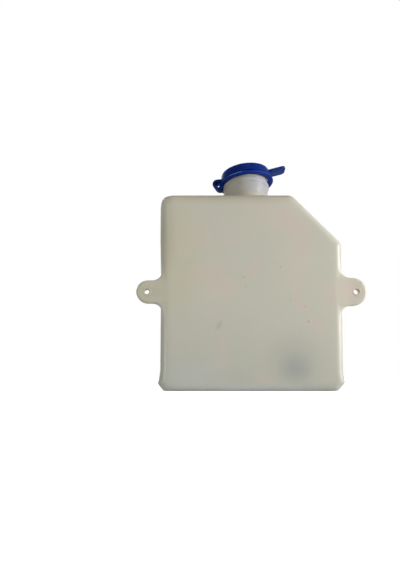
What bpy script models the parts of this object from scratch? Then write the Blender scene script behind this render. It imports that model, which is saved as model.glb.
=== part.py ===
"""Washer fluid reservoir for a car.

A blow-moulded tank with two mounting ears and a slanted shoulder, a snap-on filler cap held by a
retaining ring, and an electric pump plugged into the back of the tank through a rubber grommet.
The tank stands on z = 0. X runs to the right, and the face between the ears looks along -Y.
"""

import math

import bmesh
import bpy
from mathutils import Matrix, Vector

MM = 0.001
GAP = 0.3 * MM
SOFT_EDGE = 0.5 * MM
FINE_EDGE = 0.3 * MM
SMALLEST_ROUND = 0.4 * MM
NECK_STEPS = 48
PUMP_STEPS = 28
SMALL_STEPS = 20
OUTLET_STEPS = 16

# Tank shell
TANK_WIDTH = 159 * MM
TANK_HEIGHT = 171.4 * MM
TANK_DEPTH = 76 * MM
TANK_WALL = 2 * MM
SHOULDER = 43.4 * MM
SHOULDER_ROUND = 8 * MM
CORNER_ROUND = 8.5 * MM
TOP_TAPER = 0.7 * MM
EDGE_ROUND = 6.5 * MM
FACE_DRAFT = 1.2 * MM
PARTING_FLASH = 0.4 * MM
FOOT_FLARE = 1.6 * MM
FOOT_HEIGHT = 6.5 * MM
FOOT_WAIST = 11 * MM
FOOT_ROUND = 2.5 * MM

# Mounting ears, flush with the face of the tank
EAR_HOLE_FROM_SIDE = 10.5 * MM
EAR_HEIGHT = 85 * MM
EAR_THICKNESS = 6 * MM
EAR_SETBACK = 1 * MM
EAR_SOFTNESS = 1.5 * MM
EAR_REACH = 9.2 * MM
LEFT_EAR_ROUND = 10.1 * MM
RIGHT_EAR_ROUND = 12.1 * MM
EAR_FILLET = 8 * MM
EAR_HOLE = 4.2 * MM
EAR_DISH = 8.4 * MM
EAR_DISH_DEPTH = 1 * MM

# Filler neck, measured along its own axis from a seat above the tank
NECK_RISE = 18 * MM
NECK_SHIFT = -1.5 * MM
NECK_LEAN = math.radians(8)
NECK_RADIUS = 19.4 * MM
NECK_WALL = 2.1 * MM
BEAD = 1.6 * MM
BEAD_TOP = -0.9 * MM
BEAD_HEIGHT = 3.5 * MM
SEAT = 0.3 * MM
LIP = 1.5 * MM
LIP_HEIGHT = 2.5 * MM

# Cap: a ring round the neck and a lid joined to it by a strap, both sitting a little askew
CAP_CANT = math.radians(5.3)
CAP_CANT_HEIGHT = 5 * MM
RING_CLEARANCE = 0.8 * MM
RING_WIDTH = 4.8 * MM
RING_THICKNESS = 2.2 * MM
LID_LIFT = 1.2 * MM
LID_CLEARANCE = 0.6 * MM
LID_WALL = 1.3 * MM
LID_PLATE = 1.8 * MM
LID_RIM = 0.7 * MM
LID_RIM_HEIGHT = 1.4 * MM
PLUG_DEPTH = 2.5 * MM
PLUG_CLEARANCE = 0.4 * MM
PLUG_TAPER = 0.9 * MM
PLUG_WALL = 1.2 * MM
TAB_LENGTH = 16 * MM
TAB_WIDTH = 12.5 * MM
TAB_THICKNESS = 2.8 * MM
TAB_ROOT = 0.7 * MM
TAB_RISE = math.radians(12.5)
STRAP_WIDTH = 8 * MM
STRAP_THICKNESS = 1.5 * MM
STRAP_LOOP = 4 * MM
STRAP_REACH = 5.5 * MM
STRAP_DROP = 0.9 * MM

# Pump, upright in a pocket in the back of the tank
PUMP_FROM_SIDE = 36.5 * MM
PUMP_FROM_BACK = 12 * MM
PUMP_X = TANK_WIDTH / 2 - PUMP_FROM_SIDE
PUMP_Y = TANK_DEPTH / 2 - PUMP_FROM_BACK
PUMP_FLOOR = 4 * MM
PUMP_RADIUS = 12 * MM
PUMP_WALL = 1.3 * MM
MOTOR_BAY_WALL = 1.1 * MM
POCKET_CLEARANCE = 2.5 * MM
POCKET_HEADROOM = 8 * MM
POCKET_ROUND = 5 * MM
COVER_THICKNESS = 2 * MM
COVER_SPIGOT = 2.6 * MM
COVER_SPIGOT_WALL = 1.2 * MM
ORING_SECTION = 0.9 * MM
CHAMBER_HEIGHT = 17.7 * MM
PARTITION = 1.5 * MM
MOTOR_HEADROOM = 1.9 * MM
HOUSING_LIP = 0.6 * MM
HOUSING_LIP_HEIGHT = 2 * MM
INLET_HEIGHT = 17 * MM
INLET_RADIUS = 4.6 * MM
INLET_BORE = 5.6 * MM
INLET_REACH = 5 * MM
OUTLET_DROP = 3.6 * MM
OUTLET_RADIUS = 2.7 * MM
OUTLET_BORE = 3 * MM
OUTLET_LENGTH = 12 * MM
BARB = 0.6 * MM
BARB_LENGTH = 3 * MM

# Grommet and strainer round the pump's inlet
GROMMET_NECK = 7.5 * MM
GROMMET_FLANGE = 1.5 * MM
GROMMET_LIP = 1.4 * MM
GROMMET_LIP_LENGTH = 1.9 * MM
STRAINER_LENGTH = 8.5 * MM
STRAINER_WALL = 1 * MM
STRAINER_SLOT = 2.2 * MM
STRAINER_SLOT_LENGTH = 3.6 * MM

# Motor and impeller
SHAFT_RADIUS = 1 * MM
SHAFT_END = 0.8 * MM
SEAL_WALL = 1 * MM
IMPELLER_RADIUS = 8.6 * MM
IMPELLER_DISC = 1 * MM
IMPELLER_VANE_HEIGHT = 3.8 * MM
IMPELLER_VANE = 1 * MM
IMPELLER_VANES = 6
IMPELLER_SWEEP = math.radians(40)
IMPELLER_HUB = 2.4 * MM
IMPELLER_DROP = 1.4 * MM
BEARING_RADIUS = 2.7 * MM
BEARING_LENGTH = 2.5 * MM
CAN_WALL = 0.8 * MM
CAN_HUB_WALL = 1.2 * MM
MAGNET_THICKNESS = 1.6 * MM
MAGNET_LENGTH = 16 * MM
MAGNET_SPAN = math.radians(120)
AIR_GAP = 0.6 * MM
CORE_LENGTH = 12 * MM
CORE_HUB = 3 * MM
CORE_SHOE = 1.1 * MM
CORE_STEM = 2.6 * MM
CORE_SHOE_SPAN = math.radians(100)
COIL_THICKNESS = 1.3 * MM
COIL_SEAT = 0.4 * MM
COIL_HEADROOM = 3 * MM
COMMUTATOR_RADIUS = 2.6 * MM
COMMUTATOR_LENGTH = 3.4 * MM
COMMUTATOR_GROOVE = 0.5 * MM
BRUSH_LENGTH = 2.6 * MM
BRUSH_SIDE = 2.4 * MM
END_PLATE = 2 * MM
BRUSH_POST = 1.8 * MM
BRUSH_POST_WIDTH = 4.4 * MM

# Connector on top of the pump
TOP_CAP_PLATE = 1.7 * MM
TOP_CAP_SPIGOT = 3.3 * MM
TOP_CAP_SPIGOT_WALL = 1.2 * MM
SOCKET_LENGTH = 15 * MM
SOCKET_WIDTH = 9 * MM
SOCKET_WALL = 1.3 * MM
SOCKET_HEIGHT = 10 * MM
CATCH_WIDTH = 4 * MM
CATCH_DEPTH = 0.8 * MM
CATCH_HEIGHT = 2 * MM
TERMINAL_OFFSET = 3.9 * MM
TERMINAL_THICKNESS = 0.8 * MM
TERMINAL_WIDTH = 2.8 * MM
TERMINAL_RISE = 6 * MM


def clear_scene():
    for obj in list(bpy.data.objects):
        bpy.data.objects.remove(obj, do_unlink=True)


def new_collection(name):
    collection = bpy.data.collections.new(name)
    bpy.context.scene.collection.children.link(collection)
    return collection


def new_material(name, colour, roughness, metallic=0.0):
    material = bpy.data.materials.new(name)
    material.use_nodes = True
    shader = material.node_tree.nodes["Principled BSDF"]
    shader.inputs["Base Color"].default_value = (*colour, 1)
    shader.inputs["Roughness"].default_value = roughness
    shader.inputs["Metallic"].default_value = metallic
    material.diffuse_color = (*colour, 1)
    return material


clear_scene()
PARTS = new_collection("washer_fluid_reservoir")
CUTTERS = new_collection("cutters")

MILKY = new_material("milky_polyethylene", (0.56, 0.55, 0.47), 0.42)
BLUE = new_material("blue_polyethylene", (0.01, 0.04, 0.22), 0.35)
BLACK = new_material("black_nylon", (0.02, 0.02, 0.02), 0.45)
RUBBER = new_material("black_rubber", (0.015, 0.015, 0.015), 0.7)
WHITE = new_material("white_acetal", (0.75, 0.75, 0.72), 0.4)
STEEL = new_material("plated_steel", (0.55, 0.56, 0.58), 0.3, 1.0)
COPPER = new_material("enamelled_copper", (0.62, 0.25, 0.1), 0.35, 1.0)
BRASS = new_material("brass", (0.65, 0.48, 0.18), 0.3, 1.0)
BRONZE = new_material("sintered_bronze", (0.42, 0.27, 0.13), 0.5, 1.0)
FERRITE = new_material("ferrite", (0.05, 0.05, 0.055), 0.6)
CARBON = new_material("carbon", (0.03, 0.03, 0.03), 0.55)


def finish(obj, material, collection=None):
    """Gives a new object its material and puts it with the parts, or with the cutters as a hidden helper."""
    collection = collection or PARTS
    collection.objects.link(obj)
    obj.data.materials.append(material)
    if collection is CUTTERS:
        obj.hide_render = True
        obj.display_type = "WIRE"
    return obj


def from_bmesh(name, bm, material, collection=None):
    bmesh.ops.recalc_face_normals(bm, faces=bm.faces)
    mesh = bpy.data.meshes.new(name)
    bm.to_mesh(mesh)
    bm.free()
    mesh.shade_smooth()
    mesh.set_sharp_from_angle(angle=math.radians(35))
    return finish(bpy.data.objects.new(name, mesh), material, collection)


def turned(name, profile, material, collection=None, ring=False, steps=PUMP_STEPS):
    """Turns (radius, height) points round the object's own Z axis. A ring's profile closes on itself."""
    mesh = bpy.data.meshes.new(name)
    count = len(profile)
    edges = [(i, (i + 1) % count) for i in range(count if ring else count - 1)]
    mesh.from_pydata([(r, 0, z) for r, z in profile], edges, [])
    obj = finish(bpy.data.objects.new(name, mesh), material, collection)
    screw = obj.modifiers.new("Turn", "SCREW")
    screw.steps = screw.render_steps = steps
    screw.use_merge_vertices = True
    screw.merge_threshold = 0.00001
    screw.use_smooth_shade = True
    return obj


def box(name, size, centre, material, collection=None):
    bm = bmesh.new()
    bmesh.ops.create_cube(bm, size=1)
    bmesh.ops.scale(bm, vec=size, verts=bm.verts)
    bmesh.ops.translate(bm, vec=centre, verts=bm.verts)
    return from_bmesh(name, bm, material, collection)


def cylinder(name, radius, start, end, material, collection=None, steps=PUMP_STEPS):
    """A round bar between two points."""
    run = Vector(end) - Vector(start)
    bm = bmesh.new()
    bmesh.ops.create_cone(bm, cap_ends=True, segments=steps, radius1=radius, radius2=radius, depth=run.length)
    turn = run.to_track_quat("Z", "Y").to_matrix().to_4x4()
    place = Matrix.Translation((Vector(start) + Vector(end)) / 2) @ turn
    bmesh.ops.transform(bm, matrix=place, verts=bm.verts)
    return from_bmesh(name, bm, material, collection)


def plate(name, outlines, thickness, material, collection=None):
    """A flat plate in the object's XY plane, centred on it. Outlines after the first are its holes."""
    curve = bpy.data.curves.new(name, "CURVE")
    curve.dimensions = "2D"
    curve.fill_mode = "BOTH"
    curve.extrude = thickness / 2
    for outline in outlines:
        spline = curve.splines.new("POLY")
        spline.points.add(len(outline) - 1)
        for point, (x, y) in zip(spline.points, outline):
            point.co = (x, y, 0, 1)
        spline.use_cyclic_u = True
    guide = bpy.data.objects.new(name + "_outline", curve)
    bpy.context.scene.collection.objects.link(guide)
    graph = bpy.context.evaluated_depsgraph_get()
    mesh = bpy.data.meshes.new_from_object(guide.evaluated_get(graph))
    bpy.data.objects.remove(guide, do_unlink=True)
    bm = bmesh.new()
    bm.from_mesh(mesh)
    bpy.data.meshes.remove(mesh)
    bmesh.ops.remove_doubles(bm, verts=bm.verts, dist=0.00001)
    bmesh.ops.dissolve_limit(bm, angle_limit=0.001, verts=bm.verts, edges=bm.edges)
    return from_bmesh(name, bm, material, collection)


def loft(name, rings, material, collection=None):
    """Skins a closed solid through rings that have one point count."""
    bm = bmesh.new()
    loops = [[bm.verts.new(point) for point in ring] for ring in rings]
    for low, high in zip(loops, loops[1:]):
        for i in range(len(low)):
            j = (i + 1) % len(low)
            bm.faces.new((low[i], low[j], high[j], high[i]))
    bm.faces.new(loops[0])
    bm.faces.new(loops[-1])
    return from_bmesh(name, bm, material, collection)


def boolean(target, tool, operation):
    modifier = target.modifiers.new(tool.name, "BOOLEAN")
    modifier.operation = operation
    modifier.solver = "EXACT"
    modifier.object = tool


def cut(target, *tools):
    for tool in tools:
        boolean(target, tool, "DIFFERENCE")


def join(target, *tools):
    for tool in tools:
        boolean(target, tool, "UNION")


def arc(centre, radius, start, end, steps):
    """Points along an arc, both ends included. Angles are in radians."""
    angles = [start + (end - start) * i / steps for i in range(steps + 1)]
    return [(centre[0] + radius * math.cos(a), centre[1] + radius * math.sin(a)) for a in angles]


def rounded(corners, inset=0.0):
    """An anticlockwise outline of (x, y, radius, steps) corners, moved inwards, with each corner an arc."""
    spots = [Vector(corner[:2]) for corner in corners]
    points = []
    for i, (spot, corner) in enumerate(zip(spots, corners)):
        before = (spot - spots[i - 1]).normalized()
        after = (spots[(i + 1) % len(spots)] - spot).normalized()
        first, last = Vector((-before.y, before.x)), Vector((-after.y, after.x))
        mitre = (first + last) / (1 + first.dot(last))
        side = 1 if before.cross(after) > 0 else -1
        radius = max(corner[2] - side * inset, SMALLEST_ROUND)
        centre = spot + mitre * (inset + side * radius)
        start = math.atan2(-side * first.y, -side * first.x)
        swing = math.atan2(before.cross(after), before.dot(after))
        points += arc(centre, radius, start, start + swing, corner[3])
    return points


def body_corners():
    """The front view of the tank, anticlockwise from the bottom left."""
    half = TANK_WIDTH / 2
    low = -FACE_DRAFT - PARTING_FLASH
    foot = half - FOOT_HEIGHT + FOOT_FLARE / 2
    waist = FOOT_HEIGHT + FOOT_WAIST
    top = half - TOP_TAPER
    return [
        (-foot, low, FOOT_ROUND, 3),
        (foot, low, FOOT_ROUND, 3),
        (half + FOOT_FLARE, FOOT_HEIGHT, FOOT_ROUND, 3),
        (half, waist, SHOULDER_ROUND, 2),
        (half, TANK_HEIGHT - SHOULDER, SHOULDER_ROUND, 4),
        (half - SHOULDER, TANK_HEIGHT, SHOULDER_ROUND, 4),
        (-top, TANK_HEIGHT, CORNER_ROUND, 6),
        (-half, waist, SHOULDER_ROUND, 2),
        (-half - FOOT_FLARE, FOOT_HEIGHT, FOOT_ROUND, 3),
    ]


def body_stations(skin):
    """(y, inset) pairs through the depth of the tank: a rounded edge, the drafted side, the parting line."""
    half = TANK_DEPTH / 2
    rounding = EDGE_ROUND - skin
    front = []
    for i in range(6):
        angle = math.radians(90) * i / 5
        y = half - skin - rounding * (1 - math.cos(angle))
        front.append((-y, rounding * (1 - math.sin(angle)) + FACE_DRAFT * y / half))
    middle = [(0, 0)]
    if not skin:
        ridge = PARTING_FLASH
        middle = [(-1.5 * ridge, 0), (-0.7 * ridge, -ridge), (0.7 * ridge, -ridge), (1.5 * ridge, 0)]
    back = [(-y, inset) for y, inset in reversed(front)]
    return front + middle + back


def body_solid(name, skin, collection=None):
    """The body of the tank without its pocket, each surface moved inwards by the skin."""
    rings = []
    for y, inset in body_stations(skin):
        rings.append([(x, y, z) for x, z in rounded(body_corners(), inset + skin)])
    body = loft(name, rings, MILKY, collection)
    slab = (2 * TANK_WIDTH, 2 * TANK_DEPTH, TANK_HEIGHT)
    below = box(name + "_floor", slab, (0, 0, skin - TANK_HEIGHT / 2), MILKY, CUTTERS)
    cut(body, below)
    return body


def pocket_front():
    return PUMP_Y - PUMP_RADIUS - POCKET_CLEARANCE


def pocket_solid(name, grow):
    """The pump's pocket, open at the back and at the bottom, each surface moved outwards by grow."""
    half = PUMP_RADIUS + POCKET_CLEARANCE
    back = TANK_DEPTH
    top = top_cap_face() + SOCKET_HEIGHT + POCKET_HEADROOM
    corners = [
        (PUMP_X - half, pocket_front(), POCKET_ROUND, 5),
        (PUMP_X + half, pocket_front(), POCKET_ROUND, 5),
        (PUMP_X + half, back, POCKET_ROUND, 2),
        (PUMP_X - half, back, POCKET_ROUND, 2),
    ]
    rings = [[(x, y, -TANK_DEPTH) for x, y in rounded(corners, -grow)]]
    for i in range(5):
        angle = math.radians(90) * i / 4
        z = top + grow - POCKET_ROUND * (1 - math.sin(angle))
        inset = POCKET_ROUND * (1 - math.cos(angle))
        rings.append([(x, y, z) for x, y in rounded(corners, inset - grow)])
    return loft(name, rings, MILKY, CUTTERS)


def cushion(name, corners, thickness, softness, material, side=1):
    """A plate of rounded corners in the object's XY plane whose two faces have soft edges."""
    rings = []
    for end in (-1, 1):
        for i in range(4):
            angle = math.radians(90) * (i if end < 0 else 3 - i) / 3
            z = end * (thickness / 2 - softness * (1 - math.cos(angle)))
            inset = softness * (1 - math.sin(angle))
            rings.append([(side * x, y, z) for x, y in rounded(corners, inset)])
    return loft(name, rings, material, CUTTERS)


def ear_hole_offset():
    return TANK_WIDTH / 2 + EAR_HOLE_FROM_SIDE


def ear_solid(name, side, radius):
    """A rounded lug that grows out of the side of the tank. Its outline lies in XZ, its thickness along Y."""
    root = TANK_WIDTH / 2 - EDGE_ROUND - FACE_DRAFT
    wall = TANK_WIDTH / 2 - EAR_FILLET / 3
    reach = ear_hole_offset() + EAR_REACH
    span = radius + EAR_FILLET + 2 * EAR_SOFTNESS
    corners = [
        (root, -span, FOOT_ROUND, 1),
        (wall, -span, SOFT_EDGE, 1),
        (wall, -radius, EAR_FILLET, 5),
        (reach, -radius, radius, 8),
        (reach, radius, radius, 8),
        (wall, radius, EAR_FILLET, 5),
        (wall, span, SOFT_EDGE, 1),
        (root, span, FOOT_ROUND, 1),
    ]
    ear = cushion(name, corners, EAR_THICKNESS, EAR_SOFTNESS, MILKY, side)
    ear.rotation_euler = (math.radians(90), 0, 0)
    ear.location = (0, EAR_SETBACK + (EAR_THICKNESS - TANK_DEPTH) / 2, EAR_HEIGHT)
    return ear


def ear_hole(name, side):
    """A screw hole with a shallow dish on the face side, turned about an axis that points to -Y."""
    front = EAR_DISH_DEPTH
    profile = [
        (0, 2 * EAR_THICKNESS),
        (EAR_DISH / 2, 2 * EAR_THICKNESS),
        (EAR_DISH / 2, 0),
        (EAR_HOLE / 2, -front),
        (EAR_HOLE / 2, -3 * EAR_THICKNESS),
        (0, -3 * EAR_THICKNESS),
    ]
    hole = turned(name, profile, MILKY, CUTTERS, steps=SMALL_STEPS)
    hole.rotation_euler = (math.radians(90), 0, 0)
    hole.location = (side * ear_hole_offset(), EAR_SETBACK - TANK_DEPTH / 2, EAR_HEIGHT)
    return hole


def neck_frame():
    """Places the neck's own axis: it passes through the seat and leans back."""
    return Matrix.Translation((NECK_SHIFT, 0, TANK_HEIGHT + NECK_RISE)) @ Matrix.Rotation(-NECK_LEAN, 4, "X")


def neck_bottom():
    """Deep enough along the axis to meet the top of the tank all round."""
    return -NECK_RISE - 2 * NECK_RADIUS * math.sin(NECK_LEAN)


def lip_radius():
    return NECK_RADIUS + LIP


def cant_clearance():
    """The room that a canted face needs over the neck, out at the widest part of the neck."""
    return (NECK_RADIUS + max(BEAD, LIP)) * math.sin(CAP_CANT) + GAP


def ring_bottom():
    return BEAD_TOP + cant_clearance()


def ring_top():
    return ring_bottom() + RING_THICKNESS


def lip_bottom():
    return ring_top() + cant_clearance()


def neck_top():
    return lip_bottom() + LIP_HEIGHT


def neck_solid():
    """From the mouth down: a snap lip, the seat of the ring, a bead and a slightly flared root."""
    top, low = neck_top(), neck_bottom()
    edge = SOFT_EDGE
    lip, seat, bead = lip_radius(), NECK_RADIUS + SEAT, NECK_RADIUS + BEAD
    under = BEAD_TOP - BEAD_HEIGHT
    profile = [
        (0, top),
        (lip - 4 * edge, top),
        (lip - 2 * edge, top - edge),
        (lip, top - 2 * edge),
        (lip, lip_bottom() + edge),
        (seat, lip_bottom()),
        (seat, BEAD_TOP),
        (bead - edge, BEAD_TOP),
        (bead, BEAD_TOP - edge),
        (bead, under + edge),
        (bead - edge, under),
        ((bead + NECK_RADIUS) / 2, 2 * under),
        (NECK_RADIUS, 3 * under),
        (NECK_RADIUS, low),
        (0, low),
    ]
    neck = turned("neck", profile, MILKY, CUTTERS, steps=NECK_STEPS)
    neck.matrix_world = neck_frame()
    return neck


def neck_bore_radius():
    return NECK_RADIUS - NECK_WALL


def neck_bore():
    radius, top, low = neck_bore_radius(), 2 * neck_top(), neck_bottom()
    profile = [(0, top), (radius, top), (radius, low), (0, low)]
    bore = turned("neck_bore", profile, MILKY, CUTTERS, steps=NECK_STEPS)
    bore.matrix_world = neck_frame()
    return bore


def build_tank():
    tank = body_solid("tank", 0.0)
    cut(tank, pocket_solid("pocket", 0.0))
    join(tank, neck_solid())
    join(tank, ear_solid("left_ear", -1, LEFT_EAR_ROUND), ear_solid("right_ear", 1, RIGHT_EAR_ROUND))
    cavity = body_solid("cavity", TANK_WALL, CUTTERS)
    cut(cavity, pocket_solid("pocket_wall", TANK_WALL))
    inlet = Vector((PUMP_X, pocket_front(), INLET_HEIGHT))
    reach = Vector((0, 2 * TANK_WALL, 0))
    hole = cylinder("grommet_hole", GROMMET_NECK + GAP, inlet - reach, inlet + reach, MILKY, CUTTERS)
    cut(tank, cavity, neck_bore(), hole, ear_hole("left_hole", -1), ear_hole("right_hole", 1))


def cap_frame():
    """The cap's own axis: the neck's, tipped down to the left about a point inside the cap."""
    pivot = Matrix.Translation((0, 0, CAP_CANT_HEIGHT))
    return neck_frame() @ pivot @ Matrix.Rotation(-CAP_CANT, 4, "Y") @ pivot.inverted()


def ring_bore_radius():
    return NECK_RADIUS + SEAT + RING_CLEARANCE


def ring_radius():
    return ring_bore_radius() + RING_WIDTH


def strap_tip():
    """The outermost point of the strap's loop, which is where the lid hinges."""
    return Vector((-ring_radius() - STRAP_REACH, 0, ring_bottom() - STRAP_DROP + STRAP_LOOP))


def strap_half(name, half, arm_end):
    """Half of the looped strap, up for the lid or down for the ring, cut short at the tip of the loop."""
    middle = (strap_tip().x + STRAP_LOOP, 0)
    inner = STRAP_LOOP - STRAP_THICKNESS
    tip = GAP / 2
    outside = arc(middle, STRAP_LOOP, math.pi - math.asin(tip / STRAP_LOOP), math.pi / 2, 6)
    inside = arc(middle, inner, math.pi / 2, math.pi - math.asin(tip / inner), 6)
    outline = outside + [(-arm_end, STRAP_LOOP), (-arm_end, inner)] + inside
    outline = [(x, half * y) for x, y in outline]
    strap = plate(name, [outline], STRAP_WIDTH, BLUE, CUTTERS)
    turn = Matrix.Rotation(math.radians(90), 4, "X")
    strap.matrix_world = cap_frame() @ Matrix.Translation((0, 0, strap_tip().z)) @ turn
    return strap


def build_cap_ring():
    edge = SOFT_EDGE
    inner, outer = ring_bore_radius(), ring_radius()
    low, high = ring_bottom(), ring_top()
    profile = [
        (inner, high),
        (outer - edge, high),
        (outer, high - edge),
        (outer, low + edge),
        (outer - edge, low),
        (inner, low),
    ]
    ring = turned("cap_ring", profile, BLUE, ring=True, steps=NECK_STEPS)
    ring.matrix_world = cap_frame()
    join(ring, strap_half("ring_strap", -1, outer - 2 * edge))


def lid_inner_radius():
    return lip_radius() + LID_CLEARANCE


def lid_under():
    return neck_top() + cant_clearance()


def lid_top():
    return lid_under() + LID_PLATE


def lid_profile():
    """From the middle of the top, down the skirt, up inside it and round the plug."""
    inner = lid_inner_radius()
    outer = inner + LID_WALL
    top, under, low = lid_top(), lid_under(), ring_top() + LID_LIFT
    edge = SOFT_EDGE
    plug = neck_bore_radius() - PLUG_CLEARANCE
    return [
        (0, top),
        (outer - 3 * edge, top),
        (outer - 1.4 * edge, top - 0.5 * edge),
        (outer - 0.5 * edge, top - 1.8 * edge),
        (outer, low + LID_RIM_HEIGHT + LID_RIM),
        (outer + LID_RIM, low + LID_RIM_HEIGHT),
        (outer + LID_RIM, low + edge),
        (outer + LID_RIM - edge, low),
        (inner, low),
        (inner, under),
        (plug, under),
        (plug - PLUG_TAPER, under - PLUG_DEPTH),
        (plug - PLUG_TAPER - PLUG_WALL, under - PLUG_DEPTH),
        (plug - PLUG_TAPER - PLUG_WALL, under),
        (0, under),
    ]


def lid_tab():
    """A tongue with a round end, which rises from the edge of the lid's top."""
    half, corner = TAB_WIDTH / 2, 2 * SOFT_EDGE
    corners = [
        (0, -half, corner, 1),
        (TAB_LENGTH, -half, half, 6),
        (TAB_LENGTH, half, half, 6),
        (0, half, corner, 1),
    ]
    tab = cushion("tab", corners, TAB_THICKNESS, SOFT_EDGE, BLUE)
    root = Matrix.Translation((lid_inner_radius() - TAB_ROOT, 0, lid_top() - TAB_THICKNESS / 2))
    tab.matrix_world = cap_frame() @ root @ Matrix.Rotation(-TAB_RISE, 4, "Y")
    return tab


def build_cap_lid():
    """The lid hangs on an empty at the tip of the strap, which is where it hinges."""
    hinge = bpy.data.objects.new("lid_hinge", None)
    PARTS.objects.link(hinge)
    hinge.matrix_world = cap_frame() @ Matrix.Translation(strap_tip())
    lid = turned("cap_lid", lid_profile(), BLUE, steps=NECK_STEPS)
    lid.parent = hinge
    lid.matrix_parent_inverse = hinge.matrix_world.inverted()
    lid.matrix_world = cap_frame()
    join(lid, lid_tab(), strap_half("lid_strap", 1, lid_inner_radius() + LID_WALL / 2))


def on_pump_axis(obj):
    obj.location = (PUMP_X, PUMP_Y, 0)
    return obj


def chamber_bottom():
    return PUMP_FLOOR + COVER_THICKNESS + GAP


def partition_bottom():
    return chamber_bottom() + CHAMBER_HEIGHT


def bay_floor():
    return partition_bottom() + PARTITION


def bay_radius():
    return PUMP_RADIUS - MOTOR_BAY_WALL


def seal_radius():
    return SHAFT_RADIUS + GAP + SEAL_WALL


def housing_top():
    """High enough for the spigot of the top cap to clear the motor."""
    return end_plate_top() + MOTOR_HEADROOM + TOP_CAP_SPIGOT - GAP


def outlet_height():
    """Level with the vanes of the impeller."""
    return partition_bottom() - OUTLET_DROP


def build_pump_housing():
    """One moulding: chamber below, motor bay above, inlet stub to the tank, outlet nipple at the back."""
    top = housing_top()
    profile = [
        (0, top),
        (PUMP_RADIUS + HOUSING_LIP, top),
        (PUMP_RADIUS + HOUSING_LIP, top - HOUSING_LIP_HEIGHT),
        (PUMP_RADIUS, top - HOUSING_LIP_HEIGHT - HOUSING_LIP),
        (PUMP_RADIUS, chamber_bottom()),
        (0, chamber_bottom()),
    ]
    housing = on_pump_axis(turned("pump_housing", profile, BLACK))
    chamber = PUMP_RADIUS - PUMP_WALL
    hollow_profile = [
        (0, top + PUMP_WALL),
        (bay_radius(), top + PUMP_WALL),
        (bay_radius(), bay_floor()),
        (seal_radius() + GAP, bay_floor()),
        (seal_radius() + GAP, partition_bottom()),
        (chamber, partition_bottom()),
        (chamber, 0),
        (0, 0),
    ]
    hollow = on_pump_axis(turned("housing_hollow", hollow_profile, BLACK, CUTTERS))
    join(housing, inlet_stub(), outlet_nipple())
    cut(housing, hollow, inlet_bore(), outlet_bore())


def inlet_tip():
    return pocket_front() - TANK_WALL / 2 - INLET_REACH


def inlet_stub():
    start = (PUMP_X, PUMP_Y - PUMP_RADIUS + PUMP_WALL, INLET_HEIGHT)
    end = (PUMP_X, inlet_tip(), INLET_HEIGHT)
    return cylinder("inlet_stub", INLET_RADIUS, start, end, BLACK, CUTTERS)


def inlet_bore():
    start = (PUMP_X, PUMP_Y, INLET_HEIGHT)
    end = (PUMP_X, inlet_tip() - INLET_REACH, INLET_HEIGHT)
    return cylinder("inlet_bore", INLET_BORE / 2, start, end, BLACK, CUTTERS)


def outlet_bore():
    start = (PUMP_X, PUMP_Y + PUMP_RADIUS / 2, outlet_height())
    end = (PUMP_X, PUMP_Y + PUMP_RADIUS + 2 * OUTLET_LENGTH, outlet_height())
    return cylinder("outlet_bore", OUTLET_BORE / 2, start, end, BLACK, CUTTERS, steps=OUTLET_STEPS)


def outlet_nipple():
    """A barbed hose tail that points straight back."""
    r, length = OUTLET_RADIUS, OUTLET_LENGTH
    profile = [
        (0, length),
        (r - BARB, length),
        (r + BARB, length - BARB_LENGTH),
        (r, length - BARB_LENGTH - FINE_EDGE),
        (r, length / 2),
        (r + BARB, length / 2 - FINE_EDGE),
        (r, length / 2 - BARB_LENGTH),
        (r, -PUMP_WALL),
        (0, -PUMP_WALL),
    ]
    nipple = turned("outlet_nipple", profile, BLACK, CUTTERS, steps=OUTLET_STEPS)
    nipple.rotation_euler = (math.radians(-90), 0, 0)
    nipple.location = (PUMP_X, PUMP_Y + PUMP_RADIUS, outlet_height())
    return nipple


def spigot_radius():
    return PUMP_RADIUS - PUMP_WALL - 2 * GAP - ORING_SECTION


def build_pump_base_cover():
    floor, face = PUMP_FLOOR, PUMP_FLOOR + COVER_THICKNESS
    spigot = spigot_radius()
    profile = [
        (0, face),
        (spigot - COVER_SPIGOT_WALL, face),
        (spigot - COVER_SPIGOT_WALL, face + COVER_SPIGOT),
        (spigot, face + COVER_SPIGOT),
        (spigot, face),
        (PUMP_RADIUS, face),
        (PUMP_RADIUS, floor + SOFT_EDGE),
        (PUMP_RADIUS - SOFT_EDGE, floor),
        (0, floor),
    ]
    on_pump_axis(turned("pump_base_cover", profile, BLACK))


def build_cover_seal():
    radius = ORING_SECTION / 2
    centre = (spigot_radius() + GAP + radius, PUMP_FLOOR + COVER_THICKNESS + GAP + radius)
    profile = arc(centre, radius, math.pi / 2, -1.5 * math.pi, 6)[:-1]
    on_pump_axis(turned("cover_seal_ring", profile, RUBBER, ring=True))


def build_shaft_seal():
    low, high = partition_bottom(), bay_floor()
    inner, outer = SHAFT_RADIUS + GAP, seal_radius()
    profile = [(inner, high), (outer, high), (outer, low), (inner, low)]
    on_pump_axis(turned("shaft_seal", profile, RUBBER, ring=True, steps=SMALL_STEPS))


def build_grommet():
    """A rubber bush with a flange on the pump's side and a lead-in lip inside the tank."""
    half = TANK_WALL / 2 + GAP
    bore = INLET_RADIUS + GAP
    flange_face = half + POCKET_CLEARANCE - 2 * GAP
    profile = [
        (bore, half + GROMMET_LIP_LENGTH),
        (GROMMET_NECK - FINE_EDGE, half + GROMMET_LIP_LENGTH),
        (GROMMET_NECK + GROMMET_LIP, half),
        (GROMMET_NECK, half),
        (GROMMET_NECK, -half),
        (GROMMET_NECK + GROMMET_FLANGE, -half),
        (GROMMET_NECK + GROMMET_FLANGE, -flange_face),
        (bore, -flange_face),
    ]
    grommet = turned("pump_grommet", profile, RUBBER, ring=True)
    at_inlet(grommet)


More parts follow.
